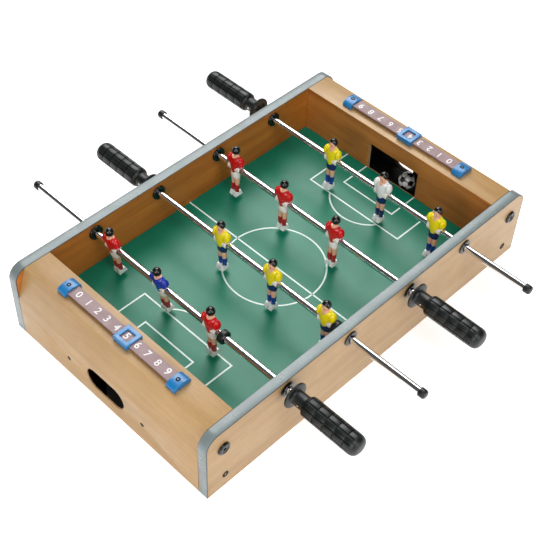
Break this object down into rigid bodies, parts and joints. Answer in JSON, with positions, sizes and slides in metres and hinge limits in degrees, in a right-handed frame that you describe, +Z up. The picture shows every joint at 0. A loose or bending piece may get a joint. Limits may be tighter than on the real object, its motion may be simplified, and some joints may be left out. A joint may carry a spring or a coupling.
{
  "type": "foosball table",
  "caption": "Tabletop foosball table: a low wooden box with sliding, spinning rods of figures, goals with ball returns and slide scoreboards.",
  "frame": {"origin": "on the ground, under the middle of the table", "axes": "+X along the table to the right-hand goal, +Y to the far long side, where the yellow side's grips are, +Z up"},
  "size_m": [0.51, 0.5232, 0.1145],
  "materials": {
    "outer_wood": "light oak foil on board, satin",
    "inner_wood": "warm oak foil on board, satin",
    "raw_board": "raw fibreboard",
    "black_board": "black painted board",
    "edge_band": "satin grey edging",
    "field_green": "green printed laminate, semi-gloss",
    "chrome": "polished",
    "grip_plastic": "dark moulded, satin",
    "black_plastic": "moulded, glossy",
    "bolt_black": "black, semi-gloss",
    "score_blue": "moulded blue",
    "score_bar": "moulded mauve",
    "ball_plastic": "white and black",
    "figure_red": "moulded, gloss paint",
    "figure_blue": "moulded, gloss paint",
    "figure_yellow": "moulded, gloss paint",
    "figure_white": "moulded, gloss paint"
  },
  "bodies": {
    "table": {"front_side_panel": "outer_wood", "front_edge_band": "edge_band", "front_left_bolt": "bolt_black", "front_right_bolt": "bolt_black", "back_side_panel": "outer_wood", "back_edge_band": "edge_band", "back_left_bolt": "bolt_black", "back_right_bolt": "bolt_black", "left_end_cover": "outer_wood", "left_goal_wall": "inner_wood", "left_ball_tray": "black_board", "left_end_batten": "raw_board", "left_score_bar": "score_bar", "left_score_back_cap": "score_blue", "left_score_front_cap": "score_blue", "right_end_cover": "outer_wood", "right_goal_wall": "inner_wood", "right_ball_tray": "black_board", "right_end_batten": "raw_board", "right_score_bar": "score_bar", "right_score_back_cap": "score_blue", "right_score_front_cap": "score_blue", "playfield": "field_green", "red_goal_front_bushing": "black_plastic", "red_goal_back_bushing": "black_plastic", "yellow_attack_front_bushing": "black_plastic", "yellow_attack_back_bushing": "black_plastic", "red_attack_front_bushing": "black_plastic", "red_attack_back_bushing": "black_plastic", "yellow_goal_front_bushing": "black_plastic", "yellow_goal_back_bushing": "black_plastic"},
    "red_goal_carriage": {"red_goal_end_cap": "grip_plastic"},
    "red_goal_rod": {"red_goal_rod": "chrome", "red_goal_grip": "grip_plastic", "red_goal_far_player": "figure_red", "red_goal_middle_player": "figure_blue", "red_goal_near_player": "figure_red", "red_goal_stop_ring": "black_plastic"},
    "yellow_attack_carriage": {"yellow_attack_end_cap": "grip_plastic"},
    "yellow_attack_rod": {"yellow_attack_rod": "chrome", "yellow_attack_grip": "grip_plastic", "yellow_attack_far_player": "figure_yellow", "yellow_attack_middle_player": "figure_yellow", "yellow_attack_near_player": "figure_yellow", "yellow_attack_stop_ring": "black_plastic"},
    "red_attack_carriage": {"red_attack_end_cap": "grip_plastic"},
    "red_attack_rod": {"red_attack_rod": "chrome", "red_attack_grip": "grip_plastic", "red_attack_far_player": "figure_red", "red_attack_middle_player": "figure_red", "red_attack_near_player": "figure_red"},
    "yellow_goal_carriage": {"yellow_goal_end_cap": "grip_plastic"},
    "yellow_goal_rod": {"yellow_goal_rod": "chrome", "yellow_goal_grip": "grip_plastic", "yellow_goal_far_player": "figure_yellow", "yellow_goal_middle_player": "figure_white", "yellow_goal_near_player": "figure_yellow"},
    "left_score_slider": {"left_score_slider": "score_blue"},
    "right_score_slider": {"right_score_slider": "score_blue"},
    "ball": {"ball": "ball_plastic"}
  },
  "joints": [
    {"name": "red_goal_slide", "type": "slide", "parent": "table", "child": "red_goal_carriage", "axis": [0, 1, 0], "range_m": [-0.0735, 0.0094]},
    {"name": "red_goal_spin", "type": "hinge", "parent": "red_goal_carriage", "child": "red_goal_rod", "pos_m": [-0.1432, 0, 0.083], "axis": [0, 1, 0], "continuous": true},
    {"name": "yellow_attack_slide", "type": "slide", "parent": "table", "child": "yellow_attack_carriage", "axis": [0, 1, 0], "range_m": [-0.0004, 0.093]},
    {"name": "yellow_attack_spin", "type": "hinge", "parent": "yellow_attack_carriage", "child": "yellow_attack_rod", "pos_m": [-0.0482, 0, 0.083], "axis": [0, 1, 0], "continuous": true},
    {"name": "red_attack_slide", "type": "slide", "parent": "table", "child": "red_attack_carriage", "axis": [0, 1, 0], "range_m": [-0.083, 0.0088]},
    {"name": "red_attack_spin", "type": "hinge", "parent": "red_attack_carriage", "child": "red_attack_rod", "pos_m": [0.0482, 0, 0.083], "axis": [0, 1, 0], "continuous": true},
    {"name": "yellow_goal_slide", "type": "slide", "parent": "table", "child": "yellow_goal_carriage", "axis": [0, 1, 0], "range_m": [-0.0114, 0.082]},
    {"name": "yellow_goal_spin", "type": "hinge", "parent": "yellow_goal_carriage", "child": "yellow_goal_rod", "pos_m": [0.1432, 0, 0.083], "axis": [0, 1, 0], "continuous": true},
    {"name": "left_score_slide", "type": "slide", "parent": "table", "child": "left_score_slider", "axis": [0, 1, 0], "range_m": [-0.0574, 0.078]},
    {"name": "right_score_slide", "type": "slide", "parent": "table", "child": "right_score_slider", "axis": [0, 1, 0], "range_m": [-0.0612, 0.0742]},
    {"name": "ball_return", "type": "slide", "parent": "table", "child": "ball", "axis": [1, 0, 0], "range_m": [0, 0.045]}
  ]
}
